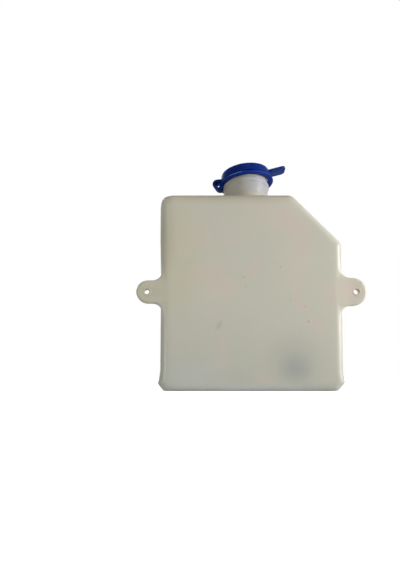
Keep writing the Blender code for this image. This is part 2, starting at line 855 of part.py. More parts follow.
def at_inlet(obj):
    """Turns the object's axis to -Y and puts its origin in the middle of the pocket wall."""
    obj.rotation_euler = (math.radians(90), 0, 0)
    obj.location = (PUMP_X, pocket_front() - TANK_WALL / 2, INLET_HEIGHT)
    return obj


def build_strainer():
    """A slotted thimble pushed over the end of the inlet stub."""
    start = TANK_WALL / 2 + 2 * GAP + GROMMET_LIP_LENGTH
    end = start + STRAINER_LENGTH
    inner = INLET_RADIUS + GAP
    outer = inner + STRAINER_WALL
    profile = [
        (0, end),
        (outer - SOFT_EDGE, end),
        (outer, end - SOFT_EDGE),
        (outer, start),
        (inner, start),
        (inner, end - STRAINER_WALL),
        (0, end - STRAINER_WALL),
    ]
    strainer = at_inlet(turned("inlet_strainer", profile, WHITE))
    middle = pocket_front() - TANK_WALL / 2 - end + STRAINER_WALL + SOFT_EDGE + STRAINER_SLOT_LENGTH / 2
    for i in range(3):
        size = (3 * outer, STRAINER_SLOT_LENGTH, STRAINER_SLOT)
        slot = box(f"strainer_slot_{i}", size, (0, 0, 0), WHITE, CUTTERS)
        slot.rotation_euler = (0, math.radians(60) * i, 0)
        slot.location = (PUMP_X, middle, INLET_HEIGHT)
        cut(strainer, slot)


def impeller_top():
    return partition_bottom() - IMPELLER_DROP


def impeller_bottom():
    return impeller_top() - IMPELLER_DISC - IMPELLER_VANE_HEIGHT


def build_impeller():
    """A disc with swept vanes below it, on a hub."""
    top, low = impeller_top(), impeller_bottom()
    bore = SHAFT_RADIUS + GAP
    profile = [
        (bore, top),
        (IMPELLER_RADIUS, top),
        (IMPELLER_RADIUS, top - IMPELLER_DISC),
        (IMPELLER_HUB, top - IMPELLER_DISC),
        (IMPELLER_HUB, low),
        (bore, low),
    ]
    impeller = on_pump_axis(turned("impeller", profile, WHITE, ring=True))
    for i in range(IMPELLER_VANES):
        join(impeller, impeller_vane(i, low, top - IMPELLER_DISC / 2))


def impeller_vane(index, low, high):
    """One swept vane: an arc-shaped bar that starts at the hub and leans back to the rim."""
    start, end = IMPELLER_HUB - FINE_EDGE, IMPELLER_RADIUS - FINE_EDGE
    steps = 5
    left, right = [], []
    for i in range(steps + 1):
        share = i / steps
        radius = start + (end - start) * share
        angle = IMPELLER_SWEEP * share
        half = IMPELLER_VANE / 2 / radius
        left.append((radius * math.cos(angle + half), radius * math.sin(angle + half)))
        right.append((radius * math.cos(angle - half), radius * math.sin(angle - half)))
    vane = plate(f"vane_{index}", [right + left[::-1]], high - low, WHITE, CUTTERS)
    vane.rotation_euler = (0, 0, math.tau * index / IMPELLER_VANES)
    vane.location = (PUMP_X, PUMP_Y, (high + low) / 2)
    return vane


def build_shaft():
    edge = FINE_EDGE
    low, high = impeller_bottom() - SHAFT_END, end_plate_top() + SHAFT_END
    profile = [
        (0, high),
        (SHAFT_RADIUS - edge, high),
        (SHAFT_RADIUS, high - edge),
        (SHAFT_RADIUS, low + edge),
        (SHAFT_RADIUS - edge, low),
        (0, low),
    ]
    on_pump_axis(turned("motor_shaft", profile, STEEL, steps=SMALL_STEPS))


def can_floor():
    return bay_floor() + GAP


def can_inner_radius():
    return bay_radius() - GAP - CAN_WALL


def build_motor_can():
    """A drawn steel cup with a bearing hub in its floor."""
    outer = bay_radius() - GAP
    inner = can_inner_radius()
    low = can_floor()
    hub = BEARING_RADIUS + GAP
    profile = [
        (inner, end_plate_top()),
        (outer, end_plate_top()),
        (outer, low + SOFT_EDGE),
        (outer - SOFT_EDGE, low),
        (hub, low),
        (hub, low + BEARING_LENGTH),
        (hub + CAN_HUB_WALL, low + BEARING_LENGTH),
        (hub + CAN_HUB_WALL, low + CAN_WALL),
        (inner, low + CAN_WALL),
    ]
    on_pump_axis(turned("motor_can", profile, STEEL, ring=True))


def build_bearing(name, low, length):
    inner = SHAFT_RADIUS + GAP
    edge = FINE_EDGE
    profile = [
        (inner, low + length),
        (BEARING_RADIUS - edge, low + length),
        (BEARING_RADIUS, low + length - edge),
        (BEARING_RADIUS, low + edge),
        (BEARING_RADIUS - edge, low),
        (inner, low),
    ]
    on_pump_axis(turned(name, profile, BRONZE, ring=True, steps=SMALL_STEPS))


def core_middle():
    """The height of the middle of the magnets, the armature core and the coils."""
    coil_end = GAP + COIL_THICKNESS + CORE_LENGTH / 2
    return can_floor() + BEARING_LENGTH + COIL_HEADROOM + coil_end


def core_radius():
    return can_inner_radius() - GAP - MAGNET_THICKNESS - AIR_GAP


def build_magnet(name, side):
    """A curved ferrite segment against the inside of the can."""
    outer = can_inner_radius() - GAP
    inner = outer - MAGNET_THICKNESS
    middle = 0 if side > 0 else math.pi
    start, end = middle - MAGNET_SPAN / 2, middle + MAGNET_SPAN / 2
    outline = arc((0, 0), outer, start, end, 10) + arc((0, 0), inner, end, start, 10)
    magnet = plate(name, [outline], MAGNET_LENGTH, FERRITE)
    magnet.location = (PUMP_X, PUMP_Y, core_middle())


def shoe_inner_radius():
    return core_radius() - CORE_SHOE


def core_outline():
    """Three T-shaped poles on a hub."""
    points = []
    half = CORE_STEM / 2
    for pole in range(3):
        turn = math.tau * pole / 3
        root = math.asin(half / CORE_HUB)
        neck = math.asin(half / shoe_inner_radius())
        tip = CORE_SHOE_SPAN / 2
        points.append((CORE_HUB * math.cos(turn - root), CORE_HUB * math.sin(turn - root)))
        points += arc((0, 0), shoe_inner_radius(), turn - neck, turn - tip, 3)
        points += arc((0, 0), core_radius(), turn - tip, turn + tip, 8)
        points += arc((0, 0), shoe_inner_radius(), turn + tip, turn + neck, 3)
        points.append((CORE_HUB * math.cos(turn + root), CORE_HUB * math.sin(turn + root)))
    return points


def build_armature_core():
    hole = arc((0, 0), SHAFT_RADIUS + GAP, 0, math.tau, 16)[:-1]
    core = plate("armature_core", [core_outline(), hole], CORE_LENGTH, STEEL)
    core.location = (PUMP_X, PUMP_Y, core_middle())


def build_coil(index):
    """Copper wire wound round one pole, as a flat ring that the pole's stem passes through."""
    start = CORE_HUB + COIL_SEAT
    wide, tall = CORE_STEM / 2 + GAP, CORE_LENGTH / 2 + GAP
    out_wide, out_tall = wide + COIL_THICKNESS, tall + COIL_THICKNESS
    end = math.sqrt(shoe_inner_radius() ** 2 - out_wide**2) - GAP

    def rectangle(x, y, radius):
        return rounded([(-x, -y, radius, 3), (x, -y, radius, 3), (x, y, radius, 3), (-x, y, radius, 3)])

    outlines = [rectangle(out_wide, out_tall, COIL_THICKNESS), rectangle(wide, tall, SMALLEST_ROUND)]
    coil = plate(f"winding_{index + 1}", outlines, end - start, COPPER)
    lay = Matrix.Rotation(math.radians(90), 4, "Z") @ Matrix.Rotation(math.radians(90), 4, "X")
    out = Matrix.Translation(((start + end) / 2, 0, 0))
    turn = Matrix.Rotation(math.tau * index / 3, 4, "Z")
    coil.matrix_world = Matrix.Translation((PUMP_X, PUMP_Y, core_middle())) @ turn @ out @ lay


def commutator_bottom():
    return core_middle() + CORE_LENGTH / 2 + 2 * GAP + COIL_THICKNESS + GAP


def build_commutator():
    low = commutator_bottom()
    inner = SHAFT_RADIUS + GAP
    high = low + COMMUTATOR_LENGTH
    profile = [(inner, high), (COMMUTATOR_RADIUS, high), (COMMUTATOR_RADIUS, low), (inner, low)]
    commutator = on_pump_axis(turned("commutator", profile, COPPER, ring=True, steps=24))
    for i in range(3):
        size = (2 * COMMUTATOR_GROOVE, COMMUTATOR_GROOVE, 2 * COMMUTATOR_LENGTH)
        groove = box(f"groove_{i}", size, (COMMUTATOR_RADIUS, 0, 0), COPPER, CUTTERS)
        groove.rotation_euler = (0, 0, math.tau * (i + 0.5) / 3)
        groove.location = (PUMP_X, PUMP_Y, low + COMMUTATOR_LENGTH / 2)
        cut(commutator, groove)


def build_brush(name, side):
    start = COMMUTATOR_RADIUS + GAP
    size = (BRUSH_LENGTH, BRUSH_SIDE, BRUSH_SIDE)
    centre = (side * (start + BRUSH_LENGTH / 2), 0, 0)
    brush = box(name, size, centre, CARBON)
    brush.location = (PUMP_X, PUMP_Y, commutator_bottom() + COMMUTATOR_LENGTH / 2)


def end_plate_bottom():
    return commutator_bottom() + COMMUTATOR_LENGTH + 2 * GAP


def end_plate_top():
    return end_plate_bottom() + END_PLATE


def build_end_plate():
    """Closes the can, carries the upper bearing and holds the brushes on two posts."""
    low, high = end_plate_bottom(), end_plate_top()
    outer, inner = can_inner_radius() - GAP, BEARING_RADIUS + GAP
    profile = [(inner, high), (outer, high), (outer, low), (inner, low)]
    end_plate = on_pump_axis(turned("motor_end_plate", profile, BLACK, ring=True))
    start = COMMUTATOR_RADIUS + 2 * GAP + BRUSH_LENGTH
    post_low = commutator_bottom() + GAP
    tall = low + END_PLATE / 2 - post_low
    for side, word in ((-1, "left"), (1, "right")):
        centre = (PUMP_X + side * (start + BRUSH_POST / 2), PUMP_Y, post_low + tall / 2)
        join(end_plate, box(f"{word}_post", (BRUSH_POST, BRUSH_POST_WIDTH, tall), centre, BLACK, CUTTERS))
    build_bearing("upper_bearing", low, END_PLATE)


def top_cap_face():
    return housing_top() + GAP + TOP_CAP_PLATE


def build_top_cap():
    """A lid for the housing with the shroud of a two-pin socket."""
    low, high = housing_top() + GAP, top_cap_face()
    spigot = bay_radius() - GAP
    profile = [
        (0, high),
        (PUMP_RADIUS - SOFT_EDGE, high),
        (PUMP_RADIUS, high - SOFT_EDGE),
        (PUMP_RADIUS, low),
        (spigot, low),
        (spigot, low - TOP_CAP_SPIGOT),
        (spigot - TOP_CAP_SPIGOT_WALL, low - TOP_CAP_SPIGOT),
        (spigot - TOP_CAP_SPIGOT_WALL, low),
        (0, low),
    ]
    cap = on_pump_axis(turned("pump_top_cap", profile, BLACK))
    base = high - TOP_CAP_PLATE / 2
    tall = SOCKET_HEIGHT + TOP_CAP_PLATE / 2
    shroud = (SOCKET_LENGTH, SOCKET_WIDTH, tall)
    inside = (SOCKET_LENGTH - 2 * SOCKET_WALL, SOCKET_WIDTH - 2 * SOCKET_WALL, 2 * SOCKET_HEIGHT)
    join(cap, box("shroud", shroud, (PUMP_X, PUMP_Y, base + tall / 2), BLACK, CUTTERS))
    catch = (CATCH_WIDTH, 2 * CATCH_DEPTH, CATCH_HEIGHT)
    catch_place = (PUMP_X, PUMP_Y - SOCKET_WIDTH / 2, high + SOCKET_HEIGHT / 2)
    join(cap, box("catch", catch, catch_place, BLACK, CUTTERS))
    cut(cap, box("socket", inside, (PUMP_X, PUMP_Y, high + SOCKET_HEIGHT), BLACK, CUTTERS))
    for side, word in ((-1, "left"), (1, "right")):
        slot = (TERMINAL_THICKNESS + 2 * GAP, TERMINAL_WIDTH + 2 * GAP, 4 * TOP_CAP_PLATE)
        centre = (PUMP_X + side * TERMINAL_OFFSET, PUMP_Y, high)
        cut(cap, box(f"{word}_slot", slot, centre, BLACK, CUTTERS))


def build_terminal(name, side):
    low, high = end_plate_top() + GAP, top_cap_face() + TERMINAL_RISE
    size = (TERMINAL_THICKNESS, TERMINAL_WIDTH, high - low)
    terminal = box(name, size, (0, 0, 0), BRASS)
    terminal.location = (PUMP_X + side * TERMINAL_OFFSET, PUMP_Y, (high + low) / 2)


def build_pump():
    build_pump_housing()
    build_pump_base_cover()
    build_cover_seal()
    build_shaft_seal()
    build_grommet()
    build_strainer()
    build_top_cap()
    build_terminal("left_terminal", -1)
    build_terminal("right_terminal", 1)


def build_motor():
    build_impeller()
    build_shaft()
    build_motor_can()
    build_bearing("lower_bearing", can_floor(), BEARING_LENGTH)
    build_magnet("left_magnet", -1)
    build_magnet("right_magnet", 1)
    build_armature_core()
    for index in range(3):
        build_coil(index)
    build_commutator()
    build_brush("left_brush", -1)
    build_brush("right_brush", 1)
    build_end_plate()


build_tank()
build_cap_ring()
build_cap_lid()
build_pump()
build_motor()
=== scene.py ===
import math

import bmesh
import bpy
from mathutils import Matrix, Vector


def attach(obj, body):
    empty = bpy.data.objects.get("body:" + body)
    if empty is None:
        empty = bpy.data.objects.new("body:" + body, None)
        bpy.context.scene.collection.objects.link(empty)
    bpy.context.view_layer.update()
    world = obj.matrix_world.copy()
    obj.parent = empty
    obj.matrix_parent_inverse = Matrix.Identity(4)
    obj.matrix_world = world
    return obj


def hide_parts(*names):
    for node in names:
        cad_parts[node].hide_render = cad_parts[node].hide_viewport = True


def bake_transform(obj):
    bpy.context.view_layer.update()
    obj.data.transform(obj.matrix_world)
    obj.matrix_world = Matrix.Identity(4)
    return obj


# Washer fluid reservoir: a milky blow-moulded tank, its blue snap cap and the pump in its back.
# Sizes in the dictionaries are in millimetres and degrees, and the places of the camera and the lamps in metres.
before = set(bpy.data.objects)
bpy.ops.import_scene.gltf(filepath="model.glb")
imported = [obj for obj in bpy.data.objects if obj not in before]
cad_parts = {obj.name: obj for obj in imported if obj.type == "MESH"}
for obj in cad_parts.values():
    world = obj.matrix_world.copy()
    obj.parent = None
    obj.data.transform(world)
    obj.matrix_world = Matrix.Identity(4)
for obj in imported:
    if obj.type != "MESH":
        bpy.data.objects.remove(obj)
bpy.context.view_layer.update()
bpy.ops.object.select_all(action="DESELECT")
mm = 0.001
print("frame loaded:", len(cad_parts), "nodes")


# General helpers

def activate(piece):
    bpy.ops.object.select_all(action="DESELECT")
    piece.select_set(True)
    bpy.context.view_layer.objects.active = piece


def startEdit(piece):
    # edit mode with everything selected
    activate(piece)
    bpy.ops.object.mode_set(mode="EDIT")
    bpy.ops.mesh.select_all(action="SELECT")


def endEdit():
    bpy.ops.object.mode_set(mode="OBJECT")


def pick(piece, kind, test):
    # in edit mode, selects the vertices, edges or faces that pass a test of their middle and direction
    bpy.ops.mesh.select_mode(type=kind)
    bpy.ops.mesh.select_all(action="DESELECT")
    mesh = bmesh.from_edit_mesh(piece.data)
    if kind == "FACE":
        for face in mesh.faces:
            face.select_set(test(face.calc_center_median(), face.normal))
    elif kind == "EDGE":
        for edge in mesh.edges:
            start, end = edge.verts[0].co, edge.verts[1].co
            edge.select_set(test((start + end) / 2, (end - start).normalized()))
    else:
        for vertex in mesh.verts:
            vertex.select_set(test(vertex.co, vertex.normal))
    mesh.select_flush_mode()
    bmesh.update_edit_mesh(piece.data)


def useModifier(piece, kind, **settings):
    # adds a modifier, sets it and applies it
    activate(piece)
    modifier = piece.modifiers.new(kind, kind)
    for key, value in settings.items():
        setattr(modifier, key, value)
    bpy.ops.object.modifier_apply(modifier=modifier.name)


def combine(piece, other, operation="UNION"):
    # a Boolean with another piece, which is used up
    useModifier(piece, "BOOLEAN", object=other, operation=operation, solver="EXACT")
    bpy.data.objects.remove(other, do_unlink=True)


def place(piece, matrix):
    # moves a piece modelled at the origin to its seat, with its place in its mesh
    activate(piece)
    piece.matrix_world = matrix @ piece.matrix_world
    bpy.ops.object.transform_apply(location=True, rotation=True, scale=True)
    return piece


def roundEdges(piece, width, segments=2, angle=30):
    useModifier(piece, "BEVEL", width=width * mm, segments=segments, limit_method="ANGLE",
                angle_limit=math.radians(angle))


def closeMesh(piece):
    # merges doubles and turns every face outwards, in edit mode
    bpy.ops.mesh.select_all(action="SELECT")
    bpy.ops.mesh.remove_doubles(threshold=0.00002)
    bpy.ops.mesh.normals_make_consistent(inside=False)
    endEdit()


def finishPiece(piece, name, body, material, nodes=(), smooth=40):
    # names and shades a piece, and gives it its material, its body and the CAD nodes that it stands for
    piece.name = name
    piece.data.name = name
    activate(piece)
    bpy.ops.object.shade_smooth_by_angle(angle=math.radians(smooth))
    piece.data.materials.clear()
    piece.data.materials.append(material)
    if body:
        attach(piece, body)
    if nodes:
        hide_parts(*nodes)


def turnProfile(profile, steps=96):
    # lathes (radius, height) points in mm: a circle's rim is extruded and resized from point to point
    pole = 0.005
    radius, height = max(profile[0][0], pole), profile[0][1]
    bpy.ops.mesh.primitive_circle_add(vertices=steps, radius=radius * mm, location=(0, 0, height * mm))
    piece = bpy.context.object
    bpy.ops.object.transform_apply(location=True, rotation=False, scale=False)
    startEdit(piece)
    bpy.ops.mesh.select_mode(type="EDGE")
    for newRadius, newHeight in profile[1:]:
        newRadius = max(newRadius, pole)
        bpy.ops.mesh.extrude_region_move(TRANSFORM_OT_translate={"value": (0, 0, (newHeight - height) * mm)})
        ratio = newRadius / radius
        bpy.ops.transform.resize(value=(ratio, ratio, 1), center_override=(0, 0, newHeight * mm))
        radius, height = newRadius, newHeight
    closeMesh(piece)
    return piece


def blockOf(size, centre):
    # a cube brought to its size and place in edit mode
    bpy.ops.mesh.primitive_cube_add(size=1, location=(0, 0, 0))
    piece = bpy.context.object
    startEdit(piece)
    bpy.ops.transform.resize(value=[s * mm for s in size], center_override=(0, 0, 0))
    bpy.ops.transform.translate(value=[c * mm for c in centre])
    endEdit()
    return piece


def copyNode(name):
    # a merged copy of a CAD node's mesh, to be refined
    piece = bpy.data.objects.new(name + "Fine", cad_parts[name].data.copy())
    bpy.context.scene.collection.objects.link(piece)
    startEdit(piece)
    closeMesh(piece)
    return piece


# Material helpers

def linear(hexColour):
    # an sRGB hex colour as the linear colour that a shader takes
    parts = [int(hexColour[i:i + 2], 16) / 255 for i in (1, 3, 5)]
    return tuple(p / 12.92 if p <= 0.04045 else ((p + 0.055) / 1.055) ** 2.4 for p in parts) + (1,)


def addNode(tree, kind, settings=None, links=None, output=None):
    # one node with its settings, and its socket values or links; it gives back the output to link from
    node = tree.nodes.new(kind)
    for key, value in (settings or {}).items():
        setattr(node, key, value)
    for key, value in (links or {}).items():
        if isinstance(value, bpy.types.NodeSocket):
            tree.links.new(value, node.inputs[key])
        else:
            node.inputs[key].default_value = value
    if output is None:
        output = 2 if kind == "ShaderNodeMix" else 0
    return node.outputs[output]


def newMaterial(name, values):
    # a Principled material with constant values on the shader's own sockets
    material = bpy.data.materials.new(name)
    material.use_nodes = True
    tree = material.node_tree
    shader = tree.nodes["Principled BSDF"]
    for key, value in values.items():
        shader.inputs[key].default_value = value
    coords = tree.nodes.new("ShaderNodeTexCoord").outputs["Object"]
    return material, tree, shader, coords


def perMm(size):
    # the scale of a noise pattern whose patches are that many millimetres wide
    return 1 / (size * mm)


# Camera, at the photograph's place: low in front of the tank and a little left of it, looking up slightly
view = {
    "eye": (-0.0443, -0.5062, 0.0147),
    "pitch": 3.5,
    "lens": 34.86,
    "sensor": 36,
    "shift": 0.0965,
}


def makeCamera():
    bpy.ops.object.camera_add(location=view["eye"], rotation=(math.radians(90 + view["pitch"]), 0, 0))
    camera = bpy.context.object
    camera.data.lens = view["lens"]
    camera.data.sensor_width = view["sensor"]
    camera.data.shift_y = view["shift"]
    camera.data.clip_start = 0.01
    bpy.context.scene.camera = camera


makeCamera()
print("camera set")


# The neck's axis, which the bead and the cap share
neck = {
    "x": -1.5,
    "z": 189.4,
    "lean": 8,
}
neckSeat = (Matrix.Translation((neck["x"] * mm, 0, neck["z"] * mm))
            @ Matrix.Rotation(-math.radians(neck["lean"]), 4, "X"))


# Tank: natural high-density polyethylene, blow moulded. It is milky and waxy, a little yellow, and light soaks
# into its wall. The pump behind shows through the face, and its shadow there is painted as a soft grey shade.
polyethylene = {
    "cream": "#b6b5a7", "warm": "#bcb6a8", "blotch": 46, "warmRange": (0.42, 0.68),
    # painted shade, darker towards the foot: the height in mm where it starts, and its share at the bottom
    "low": "#adaea2", "lowFrom": 75, "lowShare": 0.9,
    # painted shade on the neck, darker under the cap, and darker and cooler again at its top: where each starts and
    # is full, in mm above the tank
    "neck": "#aaa697", "neckRise": (-1, 4),
    "neckTopShade": "#9a9aa0", "neckTopRise": (2, 13), "neckTopX": (-14, 12), "neckTopLeft": 0.15,
    "roughness": (0.42, 0.58),
    # size and depth in mm and strength of the fine skin, the orange peel and the sag of the wall
    "bumps": ((0.9, 0.05, 0.25), (7, 0.2, 0.3), (42, 1.2, 0.35)),
}
# the kinds of mark on the face: colour, and how far in from its rim a mark fades
markKinds = {
    "yellow": ("#b5b397", 0.9),
    "pink": ("#c3b1a8", 0.8),
    # the pump's shadow on the face, painted as a soft halo and a darker core
    "pumpShadeHalo": ("#8d918b", 1.0),
    "shade": ("#888b8a", 0.9),
    # painted shade along the edges and on the left ear
    "edgeShade": ("#9a937d", 1.0),
    # painted light along the bottom, paler and bluer
    "footLight": ("#bfc0c4", 1.0),
    "scuff": ("#96968b", 0.9),
    "speck": ("#7a786f", 1.0),
}
# each mark: kind, x, z, half length, half width in mm, tilt in degrees, strength
faceMarks = (
    ("yellow", -62, 112, 28, 66, 0, 0.55),
    ("pink", -42, 101, 20, 14, 10, 0.36),
    ("pink", -25, 88, 16, 9, -20, 0.34),
    ("pink", -48, 127, 15, 7, -60, 0.34),
    ("pink", -22, 129, 12, 9, 0, 0.25),
    ("pink", 2, 105, 9, 12, 0, 0.45),
    ("pink", 26, 150, 10, 9, 30, 0.34),
    ("pink", 40, 138, 20, 15, -35, 0.36),
    ("pink", 45, 121, 9, 18, 0, 0.34),
    ("pink", 38, 89, 9, 15, 0, 0.42),
    ("pink", 43, 74, 13, 7, -40, 0.42),
    ("pink", 54, 57, 15, 7, -50, 0.42),
    ("pink", 66, 84, 12, 16, 0, 0.32),
    ("pink", -24, 33, 9, 24, 0, 0.25),
    ("pink", 11, 11, 15, 8, -20, 0.3),
    # the pump's painted shadow: a soft halo and a darker core
    ("pumpShadeHalo", 35, 28, 32, 30, 0, 0.32),
    ("shade", 37, 19, 19, 16, 0, 0.42),
    ("scuff", -28, 56, 7, 3.2, 60, 0.45),
    ("speck", 25, 106, 1.2, 1.1, 0, 0.6),
    ("speck", 20, 110, 1.2, 1.1, 0, 0.35),
    ("speck", -7, 97, 1.2, 1.1, 0, 0.45),
    ("speck", -5, 89, 1.2, 1.1, 0, 0.4),
    ("speck", 33, 77, 1.3, 1.2, 0, 0.35),
    ("speck", 45, 72, 1.3, 1.2, 0, 0.4),
    ("speck", 48, 59, 2.2, 1.6, 30, 0.45),
    # painted shade along the left edge, along the top edge and on the left ear
    ("edgeShade", -73, 132, 12, 44, 0, 0.34),
    ("edgeShade", -18, 170, 95, 12, 0, 0.45),
    ("edgeShade", -92, 85, 16, 12, 0, 0.25),
    # painted light along the bottom and the lower left
    ("footLight", 0, 0, 110, 9, 0, 0.75),
    ("footLight", -47, 12, 40, 24, 0, 0.25),
    ("yellow", -90, 85, 17, 13, 0, 0.6),
    ("pink", 90, 85, 17, 13, 0, 0.45),
)
tank = {
    "voxel": 1, "adaptivity": 0.00002, "softening": 3,
    "topZ": 171.4, "faceY": -38, "marksY": (-26, -30),
    "earY": -37, "earZ": 85, "holeX": 90,
    "padX": (70, 84), "padDepth": 3, "padHeight": {-1: 18.5, 1: 22.5},
    # the left flank and foot: the heights above or below which they move out, and how far at each
    "flankX": -69, "flankSteps": range(99, 132, 3), "flankStep": 0.08,
    "footSteps": range(5, 10), "footStep": 0.26,
    "cornerZ": 160, "cornerSoftening": 30,
    "flash": 0.35, "flashMerge": 0.05, "flashBottom": 0.6, "flashTop": 186,
    "bead": [(19, -0.95), (20.75, -0.95), (21.05, -1.25), (21.05, -4.1), (20.8, -4.4), (19, -4.4), (19, -0.95)],
    "eyelet": [(2.1, -0.9), (4.3, -0.9), (4.3, -0.15), (4.0, 0), (2.7, 0), (2.1, -0.4), (2.1, -0.9)],
}


def makePolyethylene():
    # milky and waxy: a soft sheen under a faint smooth skin, over a body that light soaks into
    material, tree, shader, coords = newMaterial("naturalPolyethylene", {
        "IOR": 1.54, "Specular IOR Level": 0.4, "Coat Weight": 0.1, "Coat Roughness": 0.15,
        "Subsurface Weight": 0.6, "Subsurface Radius": (1, 0.85, 0.6), "Subsurface Scale": 0.002})
    spread = addNode(tree, "ShaderNodeTexNoise", links={"Vector": coords, "Scale": perMm(polyethylene["blotch"]),
                                                        "Detail": 2.0, "Roughness": 0.45})
    start, full = polyethylene["warmRange"]
    warmth = addNode(tree, "ShaderNodeMapRange", links={"Value": spread, "From Min": start, "From Max": full})
    colour = addNode(tree, "ShaderNodeMix", {"data_type": "RGBA"}, {0: warmth, 6: linear(polyethylene["cream"]),
                                                                   7: linear(polyethylene["warm"])})
    axes = tree.nodes.new("ShaderNodeSeparateXYZ")
    tree.links.new(coords, axes.inputs[0])
    # painted shade: darker towards the foot
    lowZone = addNode(tree, "ShaderNodeMapRange", {"interpolation_type": "SMOOTHSTEP"},
                      {"Value": axes.outputs["Z"], "From Min": polyethylene["lowFrom"] * mm, "From Max": 0.0,
                       "To Max": polyethylene["lowShare"]})
    colour = addNode(tree, "ShaderNodeMix", {"data_type": "RGBA"}, {0: lowZone, 6: colour,
                                                                   7: linear(polyethylene["low"])})
    # painted shade: the neck is darker under the cap
    start, full = polyethylene["neckRise"]
    neckZone = addNode(tree, "ShaderNodeMapRange", {"interpolation_type": "SMOOTHSTEP"},
                       {"Value": axes.outputs["Z"], "From Min": (tank["topZ"] + start) * mm,
                        "From Max": (tank["topZ"] + full) * mm})
    colour = addNode(tree, "ShaderNodeMix", {"data_type": "RGBA"}, {0: neckZone, 6: colour,
                                                                   7: linear(polyethylene["neck"])})
    dull, dullest = polyethylene["roughness"]
    gloss = addNode(tree, "ShaderNodeMapRange", links={"Value": neckZone, "To Min": dull, "To Max": dullest})
    tree.links.new(gloss, shader.inputs["Roughness"])
    # painted shade: the neck is darker and cooler towards the top, under the cap, and most at the right
    start, full = polyethylene["neckTopRise"]
    neckTopShade = addNode(tree, "ShaderNodeMapRange", {"interpolation_type": "SMOOTHSTEP"},
                      {"Value": axes.outputs["Z"], "From Min": (tank["topZ"] + start) * mm,
                       "From Max": (tank["topZ"] + full) * mm})
    start, full = polyethylene["neckTopX"]
    neckSide = addNode(tree, "ShaderNodeMapRange", {"interpolation_type": "SMOOTHSTEP"},
                       {"Value": axes.outputs["X"], "From Min": start * mm, "From Max": full * mm,
                        "To Min": polyethylene["neckTopLeft"]})
    neckTopShade = addNode(tree, "ShaderNodeMath", {"operation": "MULTIPLY"}, {0: neckTopShade, 1: neckSide})
    colour = addNode(tree, "ShaderNodeMix", {"data_type": "RGBA"}, {0: neckTopShade, 6: colour,
                                                                   7: linear(polyethylene["neckTopShade"])})
    # the marks are on the front, and stop where it turns into the sides
    start, full = tank["marksY"]
    front = addNode(tree, "ShaderNodeMapRange", {"interpolation_type": "SMOOTHSTEP"},
                    {"Value": axes.outputs["Y"], "From Min": start * mm, "From Max": full * mm})
    for kind, x, z, length, width, tilt, strength in faceMarks:
        tone, fade = markKinds[kind]
        where = addNode(tree, "ShaderNodeMapping", {"vector_type": "TEXTURE"},
                        {"Vector": coords, "Location": (x * mm, 0, z * mm), "Scale": (length * mm, 1, width * mm),
                         "Rotation": (0, math.radians(-tilt), 0)})
        reach = addNode(tree, "ShaderNodeVectorMath", {"operation": "LENGTH"}, {0: where}, "Value")
        core = addNode(tree, "ShaderNodeMapRange", {"interpolation_type": "SMOOTHSTEP"},
                       {"Value": reach, "From Min": 1.0, "From Max": 1 - fade, "To Max": strength})
        share = addNode(tree, "ShaderNodeMath", {"operation": "MULTIPLY"}, {0: core, 1: front})
        colour = addNode(tree, "ShaderNodeMix", {"data_type": "RGBA"}, {0: share, 6: colour, 7: linear(tone)})
    tree.links.new(colour, shader.inputs["Base Color"])
    normal = None
    for size, depth, strength in polyethylene["bumps"]:
        grain = addNode(tree, "ShaderNodeTexNoise", links={"Vector": coords, "Scale": perMm(size), "Detail": 1.0})
        links = {"Height": grain, "Strength": strength, "Distance": depth * mm}
        if normal:
            links["Normal"] = normal
        normal = addNode(tree, "ShaderNodeBump", links=links)
    tree.links.new(normal, shader.inputs["Normal"])
    return material


def makeEarPad(side):
    # a wedge that fills the rounding between an ear and the face, so that the two run into each other
    inner, outer = tank["padX"]
    depth = tank["padDepth"]
    pad = blockOf((outer - inner, depth, tank["padHeight"][side]),
                  (side * (inner + outer) / 2, tank["faceY"] + depth / 2, tank["earZ"]))
    startEdit(pad)
    pick(pad, "EDGE", lambda spot, line: abs(line.z) > 0.9 and spot.y < (tank["faceY"] + 1) * mm
         and spot.x * side > (outer - 1) * mm)
    bpy.ops.transform.translate(value=(0, (tank["earY"] - tank["faceY"]) * mm, 0))
    endEdit()
    return pad


def makeTank():
    # the CAD shell with its ears run into the face, remeshed and softened as a blown wall is
    shell = copyNode("tank")
    for side in (-1, 1):
        combine(shell, makeEarPad(side))
    useModifier(shell, "REMESH", mode="VOXEL", voxel_size=tank["voxel"] * mm, adaptivity=tank["adaptivity"])
    useModifier(shell, "SMOOTH", factor=0.5, iterations=tank["softening"])
    startEdit(shell)
    # the left flank leans out a little above the ear, its foot is fuller and its top corner rounder
    for height in tank["flankSteps"]:
        pick(shell, "VERT", lambda spot, normal: spot.x < tank["flankX"] * mm and spot.z > height * mm)
        bpy.ops.transform.translate(value=(-tank["flankStep"] * mm, 0, 0))
    for height in tank["footSteps"]:
        pick(shell, "VERT", lambda spot, normal: spot.x < tank["flankX"] * mm and spot.z < height * mm)
        bpy.ops.transform.translate(value=(-tank["footStep"] * mm, 0, 0))
    pick(shell, "VERT", lambda spot, normal: spot.x < tank["flankX"] * mm and spot.z > tank["cornerZ"] * mm)
    bpy.ops.mesh.vertices_smooth(factor=0.5, repeat=tank["cornerSoftening"])
    endEdit()
    finishPiece(shell, "tankShell", "tank", naturalPolyethylene, ["tank"], 80)


